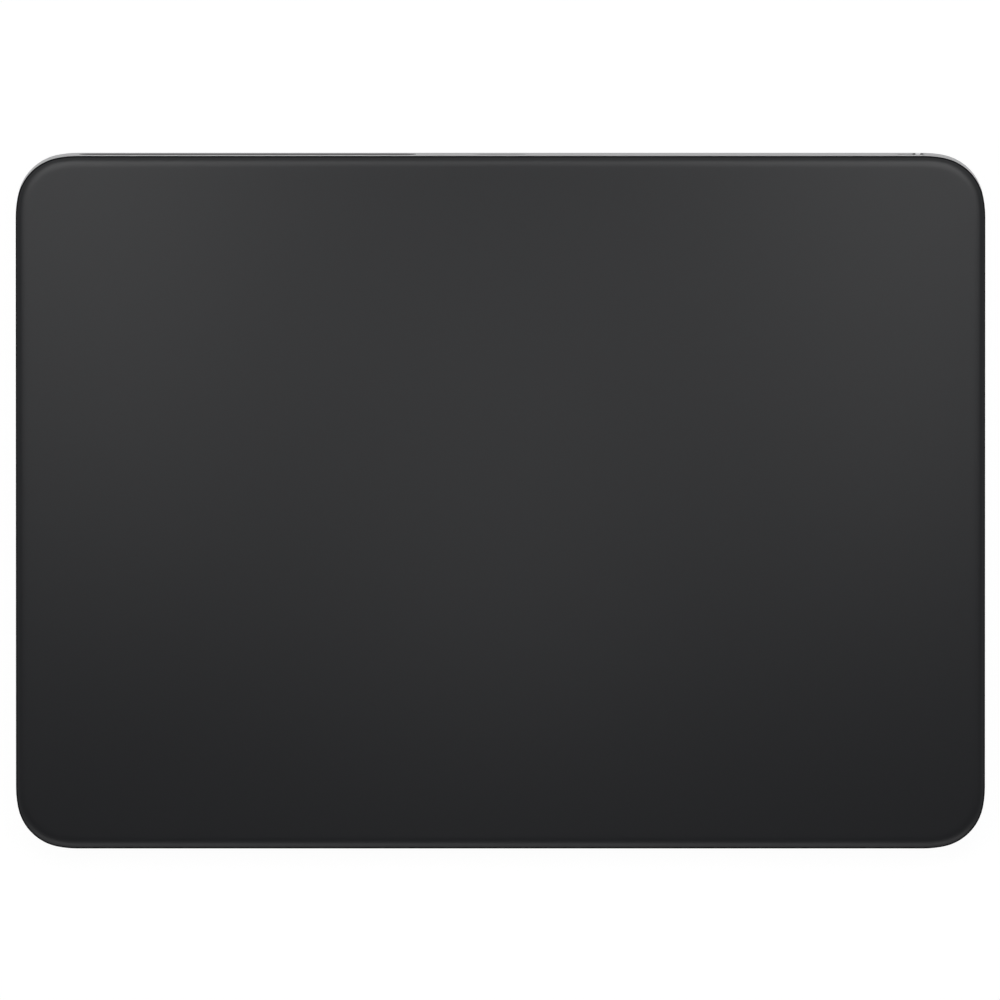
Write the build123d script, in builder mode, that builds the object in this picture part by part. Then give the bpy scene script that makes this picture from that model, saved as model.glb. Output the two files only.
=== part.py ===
from build123d import *
from math import atan, cos, radians, sin, sqrt
import os

# Driving dimensions, in millimetres and degrees

# whole body
pad_width = 160.0
pad_depth = 114.95
front_height = 4.95
rear_height = 11.05
corner_radius = 8.3
corner_lead_radius = 17.3
corner_lead_angle = 11.0
rim_height = 0.6
overrun = 1.0

# glass and touch board
glass_thickness = 1.0
glass_edge_width = 2.4
glass_edge_drop = 0.42
glass_edge_softness = 12.0
glass_side_chamfer = 0.25
glass_lower_chamfer = 0.12
tape_thickness = 0.15
tape_inset = 0.5
tape_width = 3.0
sensor_thickness = 0.6
sensor_gap = 0.2
sensor_edge_gap = 0.3

# case
wall_thickness = 1.6
web_thickness = 0.8
rim_chamfer = 0.2
feature_height = 5.2
boss_radius = 1.6
boss_gap = 0.5
small_round_sides = 8
front_boss_spread = 38.0
front_boss_inset = 7.4
side_boss_inset = 6.6
side_boss_front = -16.0
side_boss_rear = 18.0
rear_boss_spread = 36.0

# floor
cover_thickness = 0.3
plate_thickness = 0.6
floor_gap = 0.3

# screws
screw_head_radius = 1.1
screw_head_height = 0.35
screw_shank_radius = 0.6
screw_clearance = 0.06
base_bite = 1.2
boss_bite = 1.8
stud_bite = 1.4
web_bite = 0.5
bite_gap = 0.1

# feet and force sensors
foot_side_inset = 15.0
foot_end_inset = 14.4
foot_radius = 4.8
foot_edge_chamfer = 0.2
foot_travel = 0.2
foot_top_gap = 0.05
foot_side_gap = 0.25
post_radius = 1.8
blade_length = 18.0
blade_width = 8.0
blade_thickness = 0.45
blade_standoff = 0.35
blade_pad_length = 3.2
blade_pad_inset = 1.0
blade_slot_length = 4.6
blade_slot_width = 0.5
blade_slot_margin = 1.2
gauge_length = 2.4
gauge_width = 1.6
gauge_thickness = 0.08

# antenna window
window_side_inset = 10.4
window_port_gap = 13.9
window_height = 4.4
window_flange_lip = 0.8
window_flange_thickness = 0.6
window_flange_inset = 1.4
antenna_thickness = 0.4
antenna_height = 3.4
antenna_inset = 3.0
antenna_tail_inset = 7.5
antenna_tail_width = 4.0
antenna_tail_length = 6.0

# charge port
mouth_width = 7.9
mouth_height = 2.6
mouth_chamfer = 0.42
shell_wall = 0.4
shell_length = 7.0
shell_corner = 0.6
chamfer_angle = 45.0
contact_drop = 1.0
insulator_thickness = 1.5
contact_count = 8
contact_spacing = 0.8
contact_width = 0.4
contact_thickness = 0.15
contact_length = 3.6
port_board_thickness = 0.6
port_board_length = 10.0
port_board_left = 9.6
port_board_right = 13.0
port_boss_spread = 7.2
port_boss_inset = 5.6
port_ribbon_start = 3.0
port_ribbon_gap = 1.0
port_ribbon_inset = 0.2

# power switch
switch_side_inset = 9.9
switch_slot_length = 4.6
switch_slot_height = 2.0
switch_play = 0.1
nub_length = 2.0
nub_height = 1.7
nub_proud = 0.15
nub_grip_depth = 0.1
nub_grip_length = 0.9
switch_skin = 1.0
slider_thickness = 0.5
slider_height = 3.0
slider_tail_left = 3.4
slider_tail_right = 3.0
slider_end_gap = 0.2
on_strip_height = 1.6
on_strip_depth = 0.2
on_strip_margin = 0.2
tongue_length = 1.2
tongue_height = 1.0
tongue_depth = 1.9
tongue_clearance = 0.15
switch_body_length = 8.5
switch_body_depth = 4.5
switch_body_rise = 1.3
switch_body_gap = 0.4
switch_board_left = 12.3
switch_board_right = 4.7
switch_board_depth = 5.4
switch_boss_offset = 7.4
switch_boss_inset = 3.4

# main board
board_stud_height = 1.0
board_thickness = 0.8
board_depth = 15.0
board_side_inset = 14.0
board_port_gap = 4.4
board_rear_gap = 1.6
board_screw_inset = 2.4
can_left_room = 12.0
can_right_room = 16.0
can_depth = 10.6
can_height = 1.4
can_wall = 0.2
can_rear_gap = 1.0
chip_height = 0.8
processor_side_share = 0.25
radio_side_share = 0.16
touch_chip_side = 4.0
power_chip_side = 3.4
chip_gap = 1.4
chip_place_share = 0.25

# battery
battery_thickness = 3.6
battery_left_inset = 26.0
battery_right_inset = 22.0
battery_edge_fillet = 0.8
battery_front_gap = 3.0
battery_tape_inset = 2.0
battery_board_length = 7.0
battery_board_thickness = 0.6
battery_board_inset = 2.0
lead_width = 5.0
lead_overlap = 4.0

# click actuator
haptic_length = 46.0
haptic_depth = 20.0
haptic_centre = -6.0
haptic_plate_thickness = 0.4
haptic_wall = 1.5
haptic_ear_length = 4.0
haptic_ear_width = 5.0
haptic_ear_spread = 7.0
coil_thickness = 0.5
coil_gap = 0.2
coil_length = 11.0
coil_depth = 12.0
coil_winding = 2.4
coil_corner = 3.0
coil_inner_corner = 1.5
coil_spread_share = 0.6
armature_length = 30.0
armature_depth = 13.0
armature_thickness = 1.2
magnet_count = 4
magnet_spacing = 6.6
magnet_length = 4.6
magnet_depth = 10.0
magnet_thickness = 0.7
haptic_spring_thickness = 0.25
haptic_spring_height = 1.0
haptic_spring_foot = 2.6

# flexible ribbons
ribbon_thickness = 0.15
ribbon_bend = 0.4
sensor_ribbon_width = 9.0
sensor_ribbon_slot_gap = 0.6
sensor_ribbon_reach = 5.0
haptic_ribbon_width = 3.0
haptic_ribbon_inset = 5.4
haptic_ribbon_tab = 2.0
port_ribbon_width = 2.4
port_ribbon_tab = 4.0
switch_ribbon_width = 3.0
switch_ribbon_tab = 3.0

# Worked-out sizes

quarter_turn = 90.0

wall_reach = rear_height - rim_height
height_rise = rear_height - front_height
tilt_slope = (pad_depth - sqrt(pad_depth**2 - 4 * wall_reach * height_rise)) / (2 * wall_reach)
tilt = atan(tilt_slope)
wall_lean = wall_reach * tilt_slope
deck_length = (pad_depth - wall_lean) / cos(tilt)
deck_y = -wall_lean / 2
deck_z = (front_height + rear_height) / 2
deck = Plane(origin=(0, deck_y, deck_z), x_dir=(1, 0, 0), z_dir=(0, -sin(tilt), cos(tilt)))

deck_axis = Axis(origin=deck.origin, direction=deck.z_dir)

case_top = glass_thickness + tape_thickness
recess_floor = glass_thickness + sensor_thickness + sensor_gap
web_bottom = recess_floor + web_thickness
case_reach = rear_height
recess_inset = tape_inset + tape_width

plate_bottom = rim_height + cover_thickness
plate_top = plate_bottom + plate_thickness
blade_bottom = plate_top + blade_standoff
blade_top = blade_bottom + blade_thickness

rear_face_v = deck_length / 2
inner_face_v = rear_face_v - wall_thickness
feature_depth = (rear_height - feature_height) / cos(tilt)

window_length = pad_width / 2 - window_side_inset - window_port_gap
window_x = -window_port_gap - window_length / 2
antenna_rear_v = inner_face_v - window_flange_thickness
antenna_front_v = antenna_rear_v - antenna_thickness

board_top = web_bottom + board_stud_height
board_bottom = board_top + board_thickness
board_rear_v = antenna_front_v - board_rear_gap
board_front_v = board_rear_v - board_depth
board_v = (board_rear_v + board_front_v) / 2
board_left = board_side_inset - pad_width / 2
board_right = -port_board_left - board_port_gap
board_length = board_right - board_left
board_x = (board_right + board_left) / 2

boss_row_v = board_front_v - boss_gap - boss_radius
battery_rear_v = boss_row_v - boss_radius - boss_gap
haptic_rear_v = haptic_centre + haptic_depth / 2
battery_front_v = haptic_rear_v + battery_front_gap
battery_depth = battery_rear_v - battery_front_v
battery_v = (battery_rear_v + battery_front_v) / 2
battery_left = battery_left_inset - pad_width / 2
battery_right = pad_width / 2 - battery_right_inset
battery_length = battery_right - battery_left
battery_x = (battery_right + battery_left) / 2
battery_top = web_bottom + tape_thickness
battery_bottom = battery_top + battery_thickness

shell_width = mouth_width + 2 * shell_wall
shell_height = mouth_height + 2 * shell_wall
service_depth = feature_depth + shell_height / 2
port_boss_v = inner_face_v - port_boss_inset
port_board_rear_v = inner_face_v - shell_wall
port_board_front_v = port_board_rear_v - port_board_length

switch_slot_end = pad_width / 2 - switch_side_inset
nub_x = switch_slot_end - switch_play - nub_length / 2
switch_travel = switch_slot_length - nub_length - 2 * switch_play
slider_rear_v = rear_face_v - switch_skin - switch_play
slider_front_v = slider_rear_v - slider_thickness
slider_left = nub_x - nub_length / 2 - slider_tail_left
slider_right = nub_x + nub_length / 2 + slider_tail_right
switch_body_rear_v = slider_front_v - switch_body_gap
switch_body_x = nub_x - switch_travel / 2
switch_boss_x = nub_x - switch_boss_offset
switch_boss_v = inner_face_v - switch_boss_inset

boss_places = [(0, -deck_length / 2 + front_boss_inset)]
boss_places += [(side * front_boss_spread, -deck_length / 2 + front_boss_inset) for side in (-1, 1)]
boss_places += [
    (side * (pad_width / 2 - side_boss_inset), y)
    for side in (-1, 1)
    for y in (side_boss_front, side_boss_rear)
]
boss_places += [(x, deck_y + boss_row_v * cos(tilt)) for x in (-rear_boss_spread, 0, rear_boss_spread)]

foot_spread = pad_width / 2 - foot_side_inset
foot_reach = pad_depth / 2 - foot_end_inset
foot_names = {
    "front_left": (-foot_spread, -foot_reach),
    "front_right": (foot_spread, -foot_reach),
    "rear_left": (-foot_spread, foot_reach),
    "rear_right": (foot_spread, foot_reach),
}
foot_places = list(foot_names.values())
blade_end_x = (blade_length - blade_pad_length) / 2
blade_slot_spread = 2 * (blade_end_x - blade_pad_length / 2 - blade_slot_length / 2)
blade_slot_gauge = blade_width - 2 * blade_slot_margin - blade_slot_width
base_screw_shank = plate_thickness - screw_head_height + base_bite
on_strip_start = nub_x + nub_length / 2 + on_strip_margin
on_strip_length = slider_right - on_strip_margin - on_strip_start
on_strip_x = on_strip_start + on_strip_length / 2


# Planes of the two frames: the tilted deck under the glass, and the level floor


def deck_at(depth, x=0, v=0):
    return Plane(origin=deck.from_local_coords((x, v, -depth)), x_dir=deck.x_dir, z_dir=deck.z_dir)


def wall_at(v, x=0, depth=feature_depth):
    # upright in the rear wall, facing forwards into the body
    return Plane(origin=deck.from_local_coords((x, v, -depth)), x_dir=deck.x_dir, z_dir=-deck.y_dir)


def side_section(x):
    # side view of the deck frame: local x runs rearwards, local y up
    return Plane(origin=deck.from_local_coords((x, 0, 0)), x_dir=deck.y_dir, z_dir=deck.x_dir)


def front_section(v):
    # front view of the deck frame: local x runs right, local y up
    return Plane(origin=deck.from_local_coords((0, v, 0)), x_dir=deck.x_dir, z_dir=-deck.y_dir)


def floor_at(height, x=0, y=0):
    return Plane(origin=(x, y, height))


def floor_centre(height):
    # the leaning walls carry the outline rearwards as they go down
    return deck_y + (deck_z - height) * tilt_slope


# Outlines and small repeated forms


def pad_outline(inset, length=deck_length):
    # rounded rectangle whose corners ease in and out through a wider arc
    half_width = pad_width / 2 - inset
    half_length = length / 2 - inset
    lead = corner_lead_radius - inset
    step = corner_lead_radius - corner_radius
    angle = radians(corner_lead_angle)
    corner_run = lead - step * (cos(angle) - sin(angle))
    side_x, side_y = half_width - lead, half_length - corner_run
    middle = (side_x + step * cos(angle), side_y + step * sin(angle))
    with BuildSketch() as outline:
        with BuildLine():
            Line((half_width, 0), (half_width, side_y))
            CenterArc((side_x, side_y), lead, 0, corner_lead_angle)
            CenterArc(middle, corner_radius - inset, corner_lead_angle, quarter_turn - 2 * corner_lead_angle)
            CenterArc(
                (half_width - corner_run, half_length - lead),
                lead,
                quarter_turn - corner_lead_angle,
                corner_lead_angle,
            )
            Line((half_width - corner_run, half_length), (0, half_length))
            mirror(about=Plane.YZ)
            mirror(about=Plane.XZ)
        make_face()
    return outline.sketch


def plate(plane, width, length, thickness):
    # flat piece whose upper face lies on the plane
    with BuildPart() as flat:
        with BuildSketch(plane):
            Rectangle(width, length)
        extrude(amount=-thickness)
    return flat


def small_round(radius, mode=Mode.ADD):
    # screws, their holes and their bosses are eight-sided, to keep the facets few
    return RegularPolygon(radius, small_round_sides, mode=mode)


def screw_set(planes, length):
    # each screw's head lies below its plane and its shank runs up from it
    with BuildPart() as screws:
        for plane in planes:
            with BuildSketch(plane):
                small_round(screw_head_radius)
            extrude(amount=-screw_head_height)
            with BuildSketch(plane):
                small_round(screw_shank_radius)
            extrude(amount=length)
    return screws


def ribbon(plane, points, width, side=Side.LEFT):
    # bent flat strip: the points run along its lower face in a side view
    with BuildPart() as strip:
        with BuildSketch(plane):
            with BuildLine():
                Polyline(*points)
                offset(amount=ribbon_thickness, side=side, kind=Kind.INTERSECTION)
            make_face()
        extrude(amount=width / 2, both=True)
    return strip


def save(piece, label):
    piece.part.label = label
    export_step(piece.part, "parts/" + label + ".step")


os.makedirs("parts", exist_ok=True)


# Touch glass with its softly rounded upper edge

full_outline = pad_outline(0)
cavity_outline = pad_outline(wall_thickness)
tape_outline = pad_outline(tape_inset)
recess_outline = pad_outline(recess_inset)
sensor_outline = pad_outline(recess_inset + sensor_edge_gap)
floor_outline = pad_outline(wall_thickness + floor_gap, deck_length / cos(tilt))

with BuildPart() as touch_glass:
    with BuildSketch(deck_at(0)):
        add(full_outline)
    extrude(amount=-glass_thickness)
    top_face = touch_glass.faces().sort_by(deck_axis)[-1]
    bottom_face = touch_glass.faces().sort_by(deck_axis)[0]
    chamfer(bottom_face.edges(), length=glass_lower_chamfer)
    chamfer(top_face.edges(), length=glass_edge_width, length2=glass_edge_drop, reference=top_face)
    # break the bevel's lower ring of edges and soften its upper ring
    chamfer(touch_glass.edges().group_by(deck_axis)[-3], length=glass_side_chamfer)
    fillet(touch_glass.edges().group_by(deck_axis)[-1], radius=glass_edge_softness)
save(touch_glass, "touch_glass")


# Tape between the glass and the case's land

with BuildPart() as glass_adhesive:
    with BuildSketch(deck_at(glass_thickness)):
        add(tape_outline)
        add(recess_outline, mode=Mode.SUBTRACT)
    extrude(amount=-tape_thickness)
save(glass_adhesive, "glass_adhesive")


# Touch board bonded under the glass, and its ribbon down through the web

with BuildPart() as sensor_board:
    with BuildSketch(deck_at(glass_thickness)):
        add(sensor_outline)
    extrude(amount=-sensor_thickness)
save(sensor_board, "sensor_board")

sensor_face = glass_thickness + sensor_thickness
slot_front_v = board_front_v + sensor_ribbon_slot_gap
sensor_ribbon_run = sensor_ribbon_slot_gap + ribbon_bend
ribbon_land_v = slot_front_v + 2 * sensor_ribbon_run
sensor_ribbon_points = [
    (slot_front_v - sensor_ribbon_reach, -sensor_face - ribbon_thickness),
    (slot_front_v + sensor_ribbon_run, -sensor_face - ribbon_thickness),
    (ribbon_land_v, -board_top),
    (ribbon_land_v + sensor_ribbon_reach, -board_top),
]
sensor_ribbon = ribbon(side_section(board_x), sensor_ribbon_points, sensor_ribbon_width)
save(sensor_ribbon, "sensor_ribbon")
slot_rear_v = ribbon_land_v + sensor_ribbon_run + sensor_ribbon_slot_gap
slot_v = (slot_front_v + slot_rear_v) / 2


# Milled case: leaning walls, a web with a recess above and bosses below, rear openings

port_bosses = [(side * port_boss_spread, port_boss_v) for side in (-1, 1)]
service_bosses = port_bosses + [(switch_boss_x, switch_boss_v)]
board_studs = [
    (
        board_x + side * (board_length / 2 - board_screw_inset),
        board_v + end * (board_depth / 2 - board_screw_inset),
    )
    for side in (-1, 1)
    for end in (-1, 1)
]
ear_x = haptic_length / 2 + haptic_ear_length / 2
haptic_ears = [
    (side * ear_x, haptic_centre + end * haptic_ear_spread) for side in (-1, 1) for end in (-1, 1)
]
hole_radius = screw_shank_radius + screw_clearance

with BuildPart() as hollow:
    with BuildSketch(deck_at(web_bottom)):
        add(cavity_outline)
    extrude(amount=-case_reach)
    with BuildSketch(floor_at(plate_top)):
        with Locations(*boss_places):
            small_round(boss_radius)
    extrude(amount=case_reach, mode=Mode.SUBTRACT)
    with BuildSketch(deck_at(service_depth)):
        with Locations(*service_bosses):
            small_round(boss_radius)
    extrude(amount=case_reach, mode=Mode.SUBTRACT)
    with BuildSketch(deck_at(board_top)):
        with Locations(*board_studs):
            small_round(boss_radius)
    extrude(amount=case_reach, mode=Mode.SUBTRACT)

with BuildPart() as case:
    with BuildSketch(deck_at(case_top)):
        add(full_outline)
    extrude(amount=-case_reach)
    split(bisect_by=floor_at(rim_height), keep=Keep.TOP)
    rim_face = case.faces().filter_by(Axis.Z).sort_by(Axis.Z)[0]
    chamfer(rim_face.edges(), length=rim_chamfer)
    add(hollow.part, mode=Mode.SUBTRACT)
    # recess for the touch board and the slot for its ribbon
    with BuildSketch(deck_at(case_top)):
        add(recess_outline)
    extrude(amount=case_top - recess_floor, mode=Mode.SUBTRACT)
    with BuildSketch(deck_at(recess_floor, board_x, slot_v)):
        Rectangle(sensor_ribbon_width + 2 * sensor_ribbon_slot_gap, slot_rear_v - slot_front_v)
    extrude(amount=-web_thickness, mode=Mode.SUBTRACT)
    # screw holes in the bosses and the web
    with BuildSketch(floor_at(plate_top)):
        with Locations(*boss_places):
            small_round(hole_radius)
    extrude(amount=base_bite + bite_gap, mode=Mode.SUBTRACT)
    with BuildSketch(deck_at(service_depth)):
        with Locations(*service_bosses):
            small_round(hole_radius)
    extrude(amount=boss_bite + bite_gap, mode=Mode.SUBTRACT)
    with BuildSketch(deck_at(board_top)):
        with Locations(*board_studs):
            small_round(hole_radius)
    extrude(amount=stud_bite + bite_gap, mode=Mode.SUBTRACT)
    with BuildSketch(deck_at(web_bottom)):
        with Locations(*haptic_ears):
            small_round(hole_radius)
    extrude(amount=web_bite + bite_gap, mode=Mode.SUBTRACT)
    # antenna window, charge mouth and switch slot through the rear wall
    with BuildSketch(wall_at(rear_face_v, window_x)):
        SlotOverall(window_length, window_height)
    extrude(amount=wall_thickness + overrun, mode=Mode.SUBTRACT)
    with BuildSketch(wall_at(rear_face_v)):
        SlotOverall(mouth_width, mouth_height)
    extrude(amount=wall_thickness + overrun, mode=Mode.SUBTRACT)
    with BuildSketch(wall_at(rear_face_v)):
        SlotOverall(mouth_width + 2 * mouth_chamfer, mouth_height + 2 * mouth_chamfer)
    extrude(amount=mouth_chamfer, taper=chamfer_angle, mode=Mode.SUBTRACT)
    with BuildSketch(wall_at(rear_face_v, switch_slot_end - switch_slot_length / 2)):
        SlotOverall(switch_slot_length, switch_slot_height)
    extrude(amount=wall_thickness + overrun, mode=Mode.SUBTRACT)
    pocket_left = slider_left - switch_travel - slider_end_gap
    pocket_right = slider_right + slider_end_gap
    with BuildSketch(wall_at(rear_face_v - switch_skin, (pocket_left + pocket_right) / 2)):
        Rectangle(pocket_right - pocket_left, slider_height + 2 * slider_end_gap)
    extrude(amount=wall_thickness - switch_skin + overrun, mode=Mode.SUBTRACT)
save(case, "case")


# Antenna window moulded with a flange behind the wall, and the antenna on its back

with BuildPart() as antenna_window:
    with BuildSketch(wall_at(rear_face_v, window_x)):
        SlotOverall(window_length, window_height)
    extrude(amount=wall_thickness)
    with BuildSketch(wall_at(inner_face_v, window_x)):
        Rectangle(window_length - 2 * window_flange_inset, window_height + 2 * window_flange_lip)
    extrude(amount=window_flange_thickness)
save(antenna_window, "antenna_window")

with BuildPart() as antenna:
    with BuildSketch(wall_at(antenna_rear_v, window_x)):
        Rectangle(window_length - 2 * antenna_inset, antenna_height)
    extrude(amount=antenna_thickness)
    # tail that reaches under the main board
    antenna_tail_x = board_right - antenna_tail_inset
    antenna_tail_v = antenna_front_v - antenna_tail_length / 2
    with BuildSketch(deck_at(board_bottom, antenna_tail_x, antenna_tail_v)):
        Rectangle(antenna_tail_width, antenna_tail_length)
    extrude(amount=-ribbon_thickness)
save(antenna, "antenna")


# Floor: screwed steel base plate and the plain cover stuck to it

with BuildPart() as base_plate:
    with BuildSketch(floor_at(plate_bottom, 0, floor_centre(plate_bottom))):
        add(floor_outline)
    extrude(amount=plate_thickness)
    with BuildSketch(floor_at(plate_bottom)):
        with Locations(*foot_places):
            small_round(post_radius + foot_side_gap)
        with Locations(*boss_places):
            small_round(hole_radius)
    extrude(amount=plate_thickness, mode=Mode.SUBTRACT)
    with BuildSketch(floor_at(plate_bottom)):
        with Locations(*boss_places):
            small_round(screw_head_radius + screw_clearance)
    extrude(amount=screw_head_height, mode=Mode.SUBTRACT)
save(base_plate, "base_plate")

with BuildPart() as bottom_cover:
    with BuildSketch(floor_at(rim_height, 0, floor_centre(plate_bottom))):
        add(floor_outline)
    extrude(amount=cover_thickness)
    with BuildSketch(floor_at(rim_height)):
        with Locations(*foot_places):
            Circle(foot_radius + foot_side_gap)
    extrude(amount=cover_thickness, mode=Mode.SUBTRACT)
save(bottom_cover, "bottom_cover")

base_screw_planes = [floor_at(plate_bottom + screw_head_height, x, y) for x, y in boss_places]
base_screws = screw_set(base_screw_planes, base_screw_shank)
save(base_screws, "base_screws")


# Feet on posts that push the sprung blades of the force sensors

pad_height = plate_bottom - foot_travel - foot_top_gap

for name, (x, y) in foot_names.items():
    with BuildPart() as foot:
        with BuildSketch(floor_at(0, x, y)):
            Circle(foot_radius)
        extrude(amount=pad_height)
        foot_rim = foot.edges().filter_by(GeomType.CIRCLE).sort_by(Axis.Z)[0]
        chamfer(foot_rim, length=foot_edge_chamfer)
    save(foot, "foot_" + name)

    with BuildPart() as foot_post:
        with BuildSketch(floor_at(pad_height, x, y)):
            small_round(post_radius)
        extrude(amount=blade_bottom - pad_height)
    save(foot_post, "foot_post_" + name)

    with BuildPart() as force_sensor:
        with BuildSketch(floor_at(blade_bottom, x, y)):
            Rectangle(blade_length, blade_width)
            # long slots that leave a sprung beam each side of the tongue
            with GridLocations(blade_slot_spread, blade_slot_gauge, 2, 2):
                Rectangle(blade_slot_length, blade_slot_width, mode=Mode.SUBTRACT)
        extrude(amount=blade_thickness)
        with BuildSketch(floor_at(plate_top, x, y)):
            with Locations((-blade_end_x, 0), (blade_end_x, 0)):
                Rectangle(blade_pad_length, blade_width - 2 * blade_pad_inset)
        extrude(amount=blade_standoff)
    save(force_sensor, "force_sensor_" + name)

    gauge = plate(floor_at(blade_top + gauge_thickness, x, y), gauge_length, gauge_width, gauge_thickness)
    save(gauge, "strain_gauge_" + name)


# Battery cell taped under the web, with its protection board and lead

with BuildPart() as battery_cell:
    with BuildSketch(deck_at(battery_top, battery_x, battery_v)):
        Rectangle(battery_length, battery_depth)
    extrude(amount=-battery_thickness)
    long_edges = battery_cell.edges().filter_by(Axis.X)
    fillet(long_edges, radius=battery_edge_fillet)
save(battery_cell, "battery_cell")

battery_adhesive = plate(
    deck_at(web_bottom, battery_x, battery_v),
    battery_length - 2 * battery_tape_inset,
    battery_depth - 2 * battery_tape_inset,
    tape_thickness,
)
save(battery_adhesive, "battery_adhesive")

battery_board = plate(
    deck_at(board_bottom + ribbon_thickness, battery_left - battery_board_length / 2, battery_v),
    battery_board_length,
    battery_depth - 2 * battery_board_inset,
    battery_board_thickness,
)
save(battery_board, "battery_board")

lead_front_v = battery_rear_v - battery_board_inset - lead_overlap
lead_rear_v = board_front_v + lead_overlap
battery_lead = plate(
    deck_at(board_bottom, battery_left - battery_board_length / 2, (lead_front_v + lead_rear_v) / 2),
    lead_width,
    lead_rear_v - lead_front_v,
    ribbon_thickness,
)
save(battery_lead, "battery_lead")


# Main board on its studs, with chips and a pressed shield can

with BuildPart() as logic_board:
    with BuildSketch(deck_at(board_top)):
        with Locations((board_x, board_v)):
            Rectangle(board_length, board_depth)
        with Locations(*board_studs):
            small_round(hole_radius, Mode.SUBTRACT)
    extrude(amount=-board_thickness)
save(logic_board, "logic_board")

board_screws = screw_set([deck_at(board_bottom, x, v) for x, v in board_studs], board_thickness + stud_bite)
save(board_screws, "board_screws")

can_length = board_length - can_left_room - can_right_room
can_x = board_left + can_left_room + can_length / 2
can_v = board_rear_v - can_rear_gap - can_depth / 2
with BuildPart() as shield_can:
    with BuildSketch(deck_at(board_bottom, can_x, can_v)):
        Rectangle(can_length, can_depth)
    extrude(amount=-can_height)
    with BuildSketch(deck_at(board_bottom, can_x, can_v)):
        Rectangle(can_length - 2 * can_wall, can_depth - 2 * can_wall)
    extrude(amount=-(can_height - can_wall), mode=Mode.SUBTRACT)
save(shield_can, "shield_can")

processor_side = can_length * processor_side_share
radio_side = can_length * radio_side_share
chips = {
    "processor_chip": (can_x + can_length * chip_place_share, can_v, processor_side),
    "radio_chip": (can_x - can_length * chip_place_share, can_v, radio_side),
    "touch_chip": (can_x + can_length / 2 + chip_gap + touch_chip_side / 2, can_v, touch_chip_side),
    "power_chip": (can_x - can_length / 2 - chip_gap - power_chip_side / 2, can_v, power_chip_side),
}
for name, (x, v, side) in chips.items():
    chip = plate(deck_at(board_bottom, x, v), side, side, chip_height)
    save(chip, name)


# Charge port: metal shell behind the mouth, contacts on an insulator, its board on two bosses

with BuildPart() as port_shell:
    with BuildSketch(wall_at(inner_face_v)):
        RectangleRounded(shell_width, shell_height, shell_corner)
        SlotOverall(mouth_width, mouth_height, mode=Mode.SUBTRACT)
    extrude(amount=shell_length)
save(port_shell, "port_shell")

with BuildPart() as port_insulator:
    with BuildSketch(wall_at(inner_face_v - shell_length + insulator_thickness)):
        SlotOverall(mouth_width, mouth_height)
    extrude(amount=insulator_thickness)
save(port_insulator, "port_insulator")

insulator_front_v = inner_face_v - shell_length + insulator_thickness
with BuildPart() as port_contacts:
    with BuildSketch(wall_at(insulator_front_v + contact_length, 0, feature_depth + contact_drop)):
        with GridLocations(contact_spacing, contact_spacing, contact_count, 1):
            Rectangle(contact_width, contact_thickness)
    extrude(amount=contact_length)
save(port_contacts, "port_contacts")

port_board_x = (port_board_right - port_board_left) / 2
port_board_width = port_board_right + port_board_left
port_board_v = (port_board_rear_v + port_board_front_v) / 2
with BuildPart() as port_board:
    with BuildSketch(deck_at(service_depth)):
        with Locations((port_board_x, port_board_v)):
            Rectangle(port_board_width, port_board_length)
        with Locations(*port_bosses):
            small_round(hole_radius, Mode.SUBTRACT)
    extrude(amount=-port_board_thickness)
save(port_board, "port_board")

service_bottom = service_depth + port_board_thickness
service_screw_length = port_board_thickness + boss_bite
port_screws = screw_set([deck_at(service_bottom, x, v) for x, v in port_bosses], service_screw_length)
save(port_screws, "port_screws")

port_ribbon_points = [
    (-port_ribbon_start, -service_depth),
    (-port_board_left - port_ribbon_gap, -service_depth),
    (board_right + port_ribbon_gap, -board_bottom - ribbon_thickness),
    (board_right - port_ribbon_tab, -board_bottom - ribbon_thickness),
]
port_ribbon_v = port_board_front_v + port_ribbon_inset + port_ribbon_width / 2
port_ribbon = ribbon(front_section(port_ribbon_v), port_ribbon_points, port_ribbon_width, Side.RIGHT)
save(port_ribbon, "port_ribbon")


# Power switch: outer nub on a sliding plate, its green strip, and the switch it moves

with BuildPart() as switch_slider:
    with BuildSketch(wall_at(slider_rear_v, (slider_left + slider_right) / 2)):
        Rectangle(slider_right - slider_left, slider_height)
    extrude(amount=slider_thickness)
    with BuildSketch(wall_at(rear_face_v + nub_proud, nub_x)):
        SlotOverall(nub_length, nub_height)
    extrude(amount=rear_face_v + nub_proud - slider_rear_v)
    # shallow finger dip in the nub
    with BuildSketch(wall_at(rear_face_v + nub_proud, nub_x)):
        Rectangle(nub_grip_length, nub_height)
    extrude(amount=nub_grip_depth, mode=Mode.SUBTRACT)
    with BuildSketch(wall_at(slider_front_v, nub_x)):
        Rectangle(tongue_length, tongue_height)
    extrude(amount=tongue_depth)
    # seat of the green strip, to the right of the nub
    with BuildSketch(wall_at(slider_rear_v, on_strip_x)):
        Rectangle(on_strip_length, on_strip_height)
    extrude(amount=on_strip_depth, mode=Mode.SUBTRACT)
save(switch_slider, "switch_slider")

with BuildPart() as switch_on_strip:
    with BuildSketch(wall_at(slider_rear_v, on_strip_x)):
        Rectangle(on_strip_length, on_strip_height)
    extrude(amount=on_strip_depth)
save(switch_on_strip, "switch_on_strip")

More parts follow.
